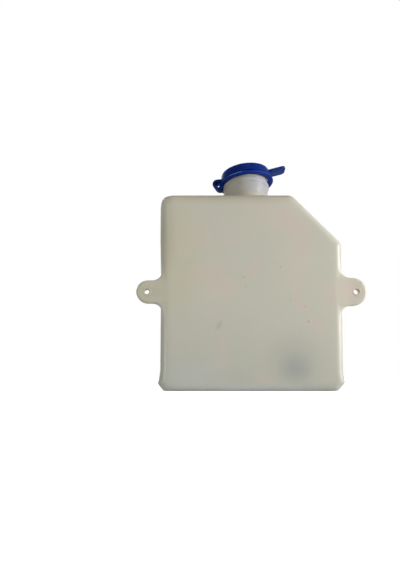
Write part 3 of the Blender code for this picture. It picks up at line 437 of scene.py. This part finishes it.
def makeFlash():
    # the parting line: the shell's outline halfway back, drawn out as a thin round seam
    flash = bpy.data.objects.new("partingLine", bpy.data.objects["tankShell"].data.copy())
    bpy.context.scene.collection.objects.link(flash)
    startEdit(flash)
    bpy.ops.mesh.bisect(plane_co=(0, 0, 0), plane_no=(0, 1, 0), clear_inner=True, clear_outer=True)
    bpy.ops.mesh.select_all(action="SELECT")
    bpy.ops.mesh.remove_doubles(threshold=tank["flashMerge"] * mm)
    endEdit()
    activate(flash)
    bpy.ops.object.convert(target="CURVE")
    flash.data.bevel_depth = tank["flash"] * mm
    flash.data.bevel_resolution = 2
    bpy.ops.object.convert(target="MESH")
    startEdit(flash)
    for height, side in ((tank["flashBottom"], 1), (tank["flashTop"], -1)):
        bpy.ops.mesh.select_all(action="SELECT")
        bpy.ops.mesh.bisect(plane_co=(0, 0, height * mm), plane_no=(0, 0, side), clear_inner=True, use_fill=True)
    closeMesh(flash)
    finishPiece(flash, "partingLine", "tank", naturalPolyethylene)


def makeEyelets():
    # a low raised rim round each screw hole
    for side, name in ((-1, "leftEyelet"), (1, "rightEyelet")):
        eyelet = turnProfile(tank["eyelet"], 48)
        roundEdges(eyelet, 0.12)
        seat = Matrix.Translation((side * tank["holeX"] * mm, tank["earY"] * mm, tank["earZ"] * mm))
        place(eyelet, seat @ Matrix.Rotation(math.pi / 2, 4, "X"))
        finishPiece(eyelet, name, "tank", naturalPolyethylene)


def makeBead():
    # the crisp rim of the bead under the cap's ring
    bead = turnProfile(tank["bead"], 128)
    roundEdges(bead, 0.2)
    place(bead, neckSeat)
    finishPiece(bead, "neckBead", "tank", naturalPolyethylene)


naturalPolyethylene = makePolyethylene()
makeTank()
makeFlash()
makeEyelets()
makeBead()
print("tank made")


# Cap: dark blue low-density polyethylene in one moulding, a ring round the neck, a looped strap and a lid
cap = {
    "tones": ("#051e62", "#0a2b77"), "patch": 9, "roughness": (0.34, 0.46),
    # size, depth and strength of the mould's grain
    "grain": (0.7, 0.02, 0.15),
    # the tab from one X to another is paler, which is painted light, and the ring below a height is paler
    "tabLitTone": "#0f2f72", "tabToneX": (18, 26), "ringTone": "#0a2f86", "ringToneHeight": (4.6, 3.6),
    # a painted highlight: a pale arc on the ring at the left of the front: its height, its width, how soft it is and
    # where it lies
    "arcHighlightTone": "#8397c8", "arcHeight": 2.1, "arcWidth": 1.6, "arcSoft": 0.4,
    "arcLeft": (-20, -16), "arcRight": (-5, -9), "arcFront": (-2, -6),
    "cant": 5.3, "cantHeight": 5,
    "ring": [(20.5, 1.7), (20.9, 1.34), (24.6, 1.34), (25.3, 1.9), (25.3, 2.4), (24.2, 3.5), (23.9, 3.54),
             (21.1, 3.54), (20.5, 3.1), (20.5, 1.7)],
    "lid": [(0, 12.0), (18.6, 12.0), (19.3, 12.319), (21.2, 12.319), (22.0, 12.0), (22.35, 11.2), (22.35, 9.3),
            (22.8, 8.9), (22.8, 6.5), (23.5, 5.9), (23.5, 5.1), (23.1, 4.74), (21.9, 4.74), (21.5, 5.1),
            (21.5, 10.3), (21.2, 10.519), (17.2, 10.519), (16.9, 10.2), (16.0, 8.02), (14.8, 8.02),
            (14.8, 10.2), (14.4, 10.519), (0, 10.519)],
    "tabRoot": 20.8, "tabLength": 17.3, "tabWidth": 12.5, "tabThickness": 2.8, "tabRise": 10.3, "tabZ": 10.7,
    "tabCorner": 3.4,
    "tipX": -30.2, "loopZ": 2.5, "loop": 4.8, "loopStart": 20, "loopX": -24, "loopSkew": 1.4, "rootHeight": -1,
    "strapThickness": 1.9, "strapWidth": 9, "strapEndX": -21.9,
}
cantPoint = Matrix.Translation((0, 0, cap["cantHeight"] * mm))
capSeat = neckSeat @ cantPoint @ Matrix.Rotation(-math.radians(cap["cant"]), 4, "Y") @ cantPoint.inverted()


def makeBluePolyethylene():
    # satin and even, with a faint bloom and the fine grain of the mould; the thin tab is painted paler, as painted
    # light
    material, tree, shader, coords = newMaterial("bluePolyethylene", {"IOR": 1.52, "Specular IOR Level": 0.1})
    spread = addNode(tree, "ShaderNodeTexNoise", links={"Vector": coords, "Scale": perMm(cap["patch"]),
                                                        "Detail": 2.0})
    colour = addNode(tree, "ShaderNodeMix", {"data_type": "RGBA"}, {0: spread, 6: linear(cap["tones"][0]),
                                                                   7: linear(cap["tones"][1])})
    axes = tree.nodes.new("ShaderNodeSeparateXYZ")
    tree.links.new(coords, axes.inputs[0])
    # painted light: the tab is paler
    start, full = cap["tabToneX"]
    litTab = addNode(tree, "ShaderNodeMapRange", {"interpolation_type": "SMOOTHSTEP"},
                   {"Value": axes.outputs["X"], "From Min": start * mm, "From Max": full * mm})
    colour = addNode(tree, "ShaderNodeMix", {"data_type": "RGBA"}, {0: litTab, 6: colour,
                                                                   7: linear(cap["tabLitTone"])})
    # heights along the cap's own axis
    axis = capSeat.to_3x3() @ Vector((0, 0, 1))
    seatHeight = axis.dot(capSeat.translation)
    height = addNode(tree, "ShaderNodeVectorMath", {"operation": "DOT_PRODUCT"}, {0: coords, 1: axis}, "Value")
    start, full = cap["ringToneHeight"]
    ringZone = addNode(tree, "ShaderNodeMapRange", {"interpolation_type": "SMOOTHSTEP"},
                       {"Value": height, "From Min": seatHeight + start * mm, "From Max": seatHeight + full * mm})
    colour = addNode(tree, "ShaderNodeMix", {"data_type": "RGBA"}, {0: ringZone, 6: colour,
                                                                   7: linear(cap["ringTone"])})
    # a painted highlight: a pale arc along the ring's upper edge at the left of the front
    arcLow = seatHeight / mm + cap["arcHeight"]
    arcHigh = arcLow + cap["arcWidth"]
    paintedHighlight = None
    for value, (start, full) in ((height, (arcLow, arcLow + cap["arcSoft"])),
                                 (height, (arcHigh + cap["arcSoft"], arcHigh)),
                                 (axes.outputs["X"], cap["arcLeft"]),
                                 (axes.outputs["X"], cap["arcRight"]),
                                 (axes.outputs["Y"], cap["arcFront"])):
        limit = addNode(tree, "ShaderNodeMapRange", {"interpolation_type": "SMOOTHSTEP"},
                        {"Value": value, "From Min": start * mm, "From Max": full * mm})
        paintedHighlight = addNode(tree, "ShaderNodeMath", {"operation": "MULTIPLY"}, {0: paintedHighlight, 1: limit}) if paintedHighlight else limit
    colour = addNode(tree, "ShaderNodeMix", {"data_type": "RGBA"}, {0: paintedHighlight, 6: colour,
                                                                   7: linear(cap["arcHighlightTone"])})
    tree.links.new(colour, shader.inputs["Base Color"])
    dull, dullest = cap["roughness"]
    gloss = addNode(tree, "ShaderNodeMapRange", links={"Value": spread, "To Min": dull, "To Max": dullest})
    tree.links.new(gloss, shader.inputs["Roughness"])
    size, depth, strength = cap["grain"]
    grain = addNode(tree, "ShaderNodeTexNoise", links={"Vector": coords, "Scale": perMm(size), "Detail": 1.0})
    bump = addNode(tree, "ShaderNodeBump", links={"Height": grain, "Strength": strength, "Distance": depth * mm})
    tree.links.new(bump, shader.inputs["Normal"])
    return material


def makeCapRing():
    ring = turnProfile(cap["ring"], 128)
    roundEdges(ring, 0.25)
    place(ring, capSeat)
    finishPiece(ring, "capRing", "ring", bluePolyethylene, ["cap_ring"])


def makeTab():
    # a flat bar whose outer corners are rounded, rising from the lid's edge
    length, width, thickness = cap["tabLength"], cap["tabWidth"], cap["tabThickness"]
    tab = blockOf((length, width, thickness), (length / 2, 0, 0))
    startEdit(tab)
    pick(tab, "EDGE", lambda spot, line: abs(line.z) > 0.9 and spot.x > length / 2 * mm)
    bpy.ops.mesh.bevel(offset=cap["tabCorner"] * mm, segments=10)
    endEdit()
    roundEdges(tab, 0.8, 4, 50)
    root = Matrix.Translation((cap["tabRoot"] * mm, 0, cap["tabZ"] * mm))
    return place(tab, root @ Matrix.Rotation(-math.radians(cap["tabRise"]), 4, "Y"))


def makeCapLid():
    lid = turnProfile(cap["lid"], 128)
    combine(lid, makeTab())
    roundEdges(lid, 0.2, 2, 35)
    place(lid, capSeat)
    finishPiece(lid, "capLid", "lid", bluePolyethylene, ["cap_lid"])


def makeStrap():
    # a flat strip: one cross-section inside the ring, spun round the loop and drawn on into the lid
    middleX, middleZ, line = cap["tipX"] + cap["loop"], cap["loopZ"], cap["loop"] - cap["strapThickness"] / 2
    bpy.ops.mesh.primitive_plane_add(size=1, location=(0, 0, 0))
    strap = bpy.context.object
    startEdit(strap)
    bpy.ops.transform.resize(value=(cap["strapThickness"] * mm, cap["strapWidth"] * mm, 1), center_override=(0, 0, 0))
    bpy.ops.transform.translate(value=((middleX + line) * mm, 0, middleZ * mm))
    bpy.ops.transform.rotate(value=-math.radians(cap["loopStart"]), orient_axis="Y",
                             center_override=(middleX * mm, 0, middleZ * mm))
    bpy.ops.mesh.spin(steps=36, angle=-math.radians(270 - cap["loopStart"]),
                      center=(middleX * mm, 0, middleZ * mm), axis=(0, 1, 0))
    bpy.ops.mesh.extrude_region_move(TRANSFORM_OT_translate={"value": ((cap["strapEndX"] - middleX) * mm, 0, 0)})
    for side in (-1, 1):
        pick(strap, "VERT", lambda spot, normal: spot.y * side > 0 and spot.x < cap["loopX"] * mm)
        bpy.ops.transform.translate(value=(side * cap["loopSkew"] * mm, 0, 0))
    closeMesh(strap)
    roundEdges(strap, 0.4, 3, 50)
    place(strap, capSeat)
    finishPiece(strap, "capStrap", None, bluePolyethylene)
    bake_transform(strap)


bluePolyethylene = makeBluePolyethylene()
makeCapRing()
makeCapLid()
makeStrap()
print("cap made")


# Pump: black glass-filled nylon housing, upright in the pocket, plugged into the tank through a rubber grommet
pump = {
    "x": 43, "y": 26, "inletZ": 17, "outletZ": 20.4, "grommetY": 10.5,
    "housing": [(10.9, 58), (12.2, 58), (12.6, 57.6), (12.6, 56.2), (12, 55.4), (12, 26.3), (12.35, 26),
                (12.35, 24.6), (12, 24.3), (12, 6.7), (11.7, 6.3), (10.7, 6.3), (10.7, 24), (2.6, 24),
                (2.6, 25.5), (10.9, 25.5), (10.9, 58)],
    "inlet": [(0, 11.2), (4.6, 11.2), (4.6, 20.1), (4.2, 20.5), (0, 20.5)], "inletBore": 2.8,
    "outlet": [(0, 11.2), (2.7, 11.2), (2.7, 15), (3.3, 17.7), (2.7, 18), (2.7, 20.7), (3.3, 21), (2.1, 24),
               (0, 24)], "outletBore": 1.5,
    "drill": (6, 30),
    "cover": [(0, 4), (11.5, 4), (12, 4.5), (12, 6), (9.2, 6), (9.2, 8.6), (8, 8.6), (8, 6), (0, 6)],
    "topCap": [(0, 60), (11.5, 60), (12, 59.5), (12, 58.3), (10.6, 58.3), (10.6, 55), (9.4, 55), (9.4, 58.3),
               (0, 58.3)],
    "grommet": [(4.9, 3.2), (7.2, 3.2), (8.9, 1.3), (7.5, 1.3), (7.5, -1.3), (9, -1.3), (9, -3.2), (4.9, -3.2),
                (4.9, 3.2)],
    "socket": (15, 9), "socketBase": 59.2, "socketFloor": 60.1, "socketTop": 70, "socketWall": 1.3, "corner": 1.8,
    "catch": (4, 1.6, 2), "catchZ": 65, "catchSlope": 0.7,
    # the blades: thickness and width, and how long and how narrow the tip is
    "bladeX": 3.9, "blade": (0.8, 2.8), "bladeBase": 56, "bladeTop": 66, "bladeTip": 1, "bladeTaper": (0.4, 0.65),
}
pumpSeat = Matrix.Translation((pump["x"] * mm, pump["y"] * mm, 0))


def alongY(z, side):
    # turns a lathed piece's axis to +Y or -Y, at a height on the pump's axis
    return pumpSeat @ Matrix.Translation((0, 0, z * mm)) @ Matrix.Rotation(-side * math.pi / 2, 4, "X")


# each plain finish: two tones, the size of their patches and of the grain in mm, depth of the grain, roughness
plainFinishes = {
    # glass-filled nylon, moulded: charcoal black with a dull, slightly rough skin
    "filledNylon": {"tones": ("#1a1b1d", "#26272a"), "patch": 5, "grain": 0.5, "depth": 0.05,
                    "rough": (0.42, 0.56), "ior": 1.53},
    # nitrile rubber, moulded: soft black, matt, with a greyish bloom
    "nitrileRubber": {"tones": ("#141414", "#222221"), "patch": 3, "grain": 0.6, "depth": 0.05,
                      "rough": (0.62, 0.8), "ior": 1.52},
    # acetal, moulded: opaque white and smooth
    "acetal": {"tones": ("#dddcd6", "#e6e5e0"), "patch": 4, "grain": 0.6, "depth": 0.02,
               "rough": (0.3, 0.36), "ior": 1.48},
    # steel, drawn and zinc plated: cool grey with long draw marks
    "platedSteel": {"tones": ("#a9adb3", "#c3c6c9"), "patch": 2, "grain": 0.4, "depth": 0.02,
                    "rough": (0.24, 0.4), "metallic": 1, "stretch": 0.06},
    # copper wire under clear enamel: red-brown strands side by side, 0.3 mm apart
    "enamelledCopper": {"tones": ("#9c4a20", "#c4713a"), "patch": 0.6, "grain": 0.3, "depth": 0.08,
                        "rough": (0.22, 0.38), "metallic": 1, "stretch": 8},
    # brass, stamped: yellow, a little tarnished towards brown
    "stampedBrass": {"tones": ("#b08a3c", "#caa95c"), "patch": 1.5, "grain": 0.4, "depth": 0.01,
                     "rough": (0.2, 0.36), "metallic": 1},
    # bronze, pressed from powder and oiled: dark and finely pitted
    "sinteredBronze": {"tones": ("#6a4a26", "#8c6638"), "patch": 0.8, "grain": 0.25, "depth": 0.06,
                       "rough": (0.4, 0.6), "metallic": 1},
    # ferrite, pressed and fired: dark grey, dry and faintly speckled
    "ferrite": {"tones": ("#2b2b2e", "#3a3a3d"), "patch": 0.7, "grain": 0.3, "depth": 0.04,
                "rough": (0.5, 0.7), "ior": 1.8},
    # carbon, pressed: black with a graphite shine
    "pressedCarbon": {"tones": ("#1b1b1d", "#2c2c2f"), "patch": 0.5, "grain": 0.2, "depth": 0.03,
                      "rough": (0.35, 0.55), "ior": 1.6},
}


def makePlainFinish(name, tones, patch, grain, depth, rough, metallic=0, ior=1.5, stretch=1):
    material, tree, shader, coords = newMaterial(name, {"Metallic": metallic, "IOR": ior})
    drawn = addNode(tree, "ShaderNodeMapping", links={"Vector": coords, "Scale": (1, 1, stretch)})
    spread = addNode(tree, "ShaderNodeTexNoise", links={"Vector": drawn, "Scale": perMm(patch), "Detail": 2.0})
    colour = addNode(tree, "ShaderNodeMix", {"data_type": "RGBA"}, {0: spread, 6: linear(tones[0]),
                                                                   7: linear(tones[1])})
    tree.links.new(colour, shader.inputs["Base Color"])
    gloss = addNode(tree, "ShaderNodeMapRange", links={"Value": spread, "To Min": rough[0], "To Max": rough[1]})
    tree.links.new(gloss, shader.inputs["Roughness"])
    skin = addNode(tree, "ShaderNodeTexNoise", links={"Vector": drawn, "Scale": perMm(grain), "Detail": 1.0})
    bump = addNode(tree, "ShaderNodeBump", links={"Height": skin, "Strength": 0.4, "Distance": depth * mm})
    tree.links.new(bump, shader.inputs["Normal"])
    return material


def makeHousing():
    housing = place(turnProfile(pump["housing"]), pumpSeat)
    for part, z, side in (("inlet", pump["inletZ"], -1), ("outlet", pump["outletZ"], 1)):
        combine(housing, place(turnProfile(pump[part], 48), alongY(z, side)))
        bore, (start, end) = pump[part + "Bore"], pump["drill"]
        drill = turnProfile([(0, start), (bore, start), (bore, end), (0, end)], 48)
        combine(housing, place(drill, alongY(z, side)), "DIFFERENCE")
    roundEdges(housing, 0.15, 2, 40)
    finishPiece(housing, "pumpHousing", "tank", finish["filledNylon"], ["pump_housing"])


def makeBaseCover():
    cover = place(turnProfile(pump["cover"]), pumpSeat)
    roundEdges(cover, 0.2)
    finishPiece(cover, "pumpBaseCover", "tank", finish["filledNylon"], ["pump_base_cover"])


def makeTopCap():
    lid = turnProfile(pump["topCap"])
    length, width = pump["socket"]
    base, floor, top = pump["socketBase"], pump["socketFloor"], pump["socketTop"]
    shroud = blockOf((length, width, top - base), (0, 0, (top + base) / 2))
    startEdit(shroud)
    pick(shroud, "EDGE", lambda spot, line: abs(line.z) > 0.9)
    bpy.ops.mesh.bevel(offset=pump["corner"] * mm, segments=5)
    pick(shroud, "FACE", lambda spot, normal: normal.z > 0.9)
    bpy.ops.mesh.inset(thickness=pump["socketWall"] * mm)
    bpy.ops.mesh.extrude_region_move(TRANSFORM_OT_translate={"value": (0, 0, (floor - top) * mm)})
    closeMesh(shroud)
    combine(lid, shroud)
    catch = blockOf(pump["catch"], (0, -width / 2, pump["catchZ"]))
    startEdit(catch)
    pick(catch, "EDGE", lambda spot, line: abs(line.x) > 0.9 and spot.y < -width / 2 * mm
         and spot.z > pump["catchZ"] * mm)
    bpy.ops.mesh.bevel(offset=pump["catchSlope"] * mm, segments=1)
    endEdit()
    combine(lid, catch)
    roundEdges(lid, 0.2, 2, 40)
    place(lid, pumpSeat)
    finishPiece(lid, "pumpTopCap", "tank", finish["filledNylon"], ["pump_top_cap"])


def makeBlades():
    # one contact blade with a tapered tip, and its copy
    thick, wide = pump["blade"]
    base, top, tip = pump["bladeBase"], pump["bladeTop"], pump["bladeTip"]
    blade = blockOf((thick, wide, top - tip - base), (-pump["bladeX"], 0, (top - tip + base) / 2))
    startEdit(blade)
    pick(blade, "FACE", lambda spot, normal: normal.z > 0.9)
    bpy.ops.mesh.extrude_region_move(TRANSFORM_OT_translate={"value": (0, 0, tip * mm)})
    bpy.ops.transform.resize(value=(*pump["bladeTaper"], 1), center_override=(-pump["bladeX"] * mm, 0, top * mm))
    endEdit()
    roundEdges(blade, 0.08)
    second = bpy.data.objects.new("secondBlade", blade.data.copy())
    bpy.context.scene.collection.objects.link(second)
    place(blade, pumpSeat)
    place(second, pumpSeat @ Matrix.Translation((2 * pump["bladeX"] * mm, 0, 0)))
    finishPiece(blade, "leftBlade", "tank", finish["stampedBrass"], ["left_terminal"])
    finishPiece(second, "rightBlade", "tank", finish["stampedBrass"], ["right_terminal"])


def makeGrommet():
    grommet = turnProfile(pump["grommet"])
    roundEdges(grommet, 0.3, 3)
    seat = Matrix.Translation((pump["x"] * mm, pump["grommetY"] * mm, pump["inletZ"] * mm))
    place(grommet, seat @ Matrix.Rotation(math.pi / 2, 4, "X"))
    finishPiece(grommet, "rubberGrommet", "tank", finish["nitrileRubber"], ["pump_grommet"])


# the motor and the other inner pieces keep their CAD solids
innerNodes = {
    "nitrileRubber": ("cover_seal_ring", "shaft_seal"),
    "acetal": ("inlet_strainer", "impeller"),
    "platedSteel": ("motor_shaft", "motor_can", "armature_core"),
    "enamelledCopper": ("winding_1", "winding_2", "winding_3", "commutator"),
    "sinteredBronze": ("lower_bearing", "upper_bearing"),
    "ferrite": ("left_magnet", "right_magnet"),
    "pressedCarbon": ("left_brush", "right_brush"),
    "filledNylon": ("motor_end_plate",),
}


def dressInnerNodes():
    for finishName, names in innerNodes.items():
        for name in names:
            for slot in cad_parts[name].material_slots:
                slot.material = finish[finishName]


finish = {name: makePlainFinish(name, **values) for name, values in plainFinishes.items()}
makeHousing()
makeBaseCover()
makeTopCap()
makeBlades()
makeGrommet()
dressInnerNodes()
print("pump made")


# Stage: a plain pale floor, a strip light at the right, weaker ones at the left, in front and behind, a pale room
light = {
    "key": {"place": (0.98, -0.38, 0.3), "size": (0.3, 0.45), "power": 12},
    "left": {"place": (-0.72, -0.76, 0.06), "size": (0.08, 0.11), "power": 2.4},
    "front": {"place": (0.2, -1.3, 0.25), "size": (0.8, 0.5), "power": 1.8},
    "back": {"place": (-0.1, 1.3, 0.7), "size": (1.2, 0.8), "power": 4.8},
    "aim": (0, 0, 0.09),
    # the room's light, from its dim side to its bright side, and the directions where the backdrop starts
    "room": (0.2, 0.4), "brightSide": (0.85, -0.2, -0.45), "backdrop": (0.35, 0.9),
    "floor": "#e6e6e4", "floorSize": 200, "floorDrop": 0.2, "floorGlow": 0.78,
}


def addLight(name, place, size, power):
    bpy.ops.object.light_add(type="AREA", location=place)
    lamp = bpy.context.object
    lamp.name = name
    lamp.data.shape = "RECTANGLE"
    lamp.data.size, lamp.data.size_y = size
    lamp.data.energy = power
    aim = Vector(light["aim"]) - Vector(place)
    lamp.rotation_euler = aim.to_track_quat("-Z", "Y").to_euler()


def makeWorld():
    # the room is lighter towards the right; a white backdrop stands behind the tank
    world = bpy.data.worlds.new("room")
    bpy.context.scene.world = world
    world.use_nodes = True
    tree = world.node_tree
    direction = tree.nodes.new("ShaderNodeTexCoord").outputs["Generated"]
    towards = addNode(tree, "ShaderNodeVectorMath", {"operation": "DOT_PRODUCT"},
                      {0: direction, 1: light["brightSide"]}, "Value")
    strength = addNode(tree, "ShaderNodeMapRange", links={
        "Value": towards, "From Min": -1.0, "From Max": 1.0,
        "To Min": light["room"][0], "To Max": light["room"][1]})
    room = addNode(tree, "ShaderNodeBackground", links={"Color": linear("#ffffff"), "Strength": strength})
    axes = tree.nodes.new("ShaderNodeSeparateXYZ")
    tree.links.new(direction, axes.inputs[0])
    start, full = light["backdrop"]
    behind = addNode(tree, "ShaderNodeMapRange", {"interpolation_type": "SMOOTHSTEP"},
                     {"Value": axes.outputs["Y"], "From Min": start, "From Max": full})
    path = tree.nodes.new("ShaderNodeLightPath").outputs
    mirrored = addNode(tree, "ShaderNodeMath", {"operation": "MAXIMUM"}, {0: path["Is Glossy Ray"],
                                                                         1: path["Is Transmission Ray"]})
    mirrored = addNode(tree, "ShaderNodeMath", {"operation": "MULTIPLY"}, {0: mirrored, 1: behind})
    seen = addNode(tree, "ShaderNodeMath", {"operation": "MAXIMUM"}, {0: path["Is Camera Ray"], 1: mirrored})
    white = addNode(tree, "ShaderNodeBackground", links={"Color": linear("#ffffff"), "Strength": 1.0})
    mixed = addNode(tree, "ShaderNodeMixShader", links={0: seen, 1: room, 2: white})
    tree.links.new(mixed, tree.nodes["World Output"].inputs["Surface"])


def makeFloor():
    # the floor shows white to the camera and keeps the shadow
    bpy.ops.mesh.primitive_plane_add(size=light["floorSize"], location=(0, 0, -light["floorDrop"] * mm))
    floor = bpy.context.object
    floor.name = "floor"
    material, tree, shader, _ = newMaterial("paleFloor", {"Base Color": linear(light["floor"]), "Roughness": 0.9})
    path = tree.nodes.new("ShaderNodeLightPath").outputs
    share = addNode(tree, "ShaderNodeMath", {"operation": "MULTIPLY"}, {0: path["Is Camera Ray"],
                                                                      1: light["floorGlow"]})
    glow = addNode(tree, "ShaderNodeEmission", links={"Color": linear("#ffffff"), "Strength": share})
    mixed = addNode(tree, "ShaderNodeAddShader", links={0: shader.outputs[0], 1: glow})
    tree.links.new(mixed, tree.nodes["Material Output"].inputs["Surface"])
    floor.data.materials.append(material)


for lampName in ("key", "left", "front", "back"):
    addLight(lampName, **light[lampName])
makeWorld()
makeFloor()
bpy.context.scene.view_settings.view_transform = "Standard"
print("stage set")
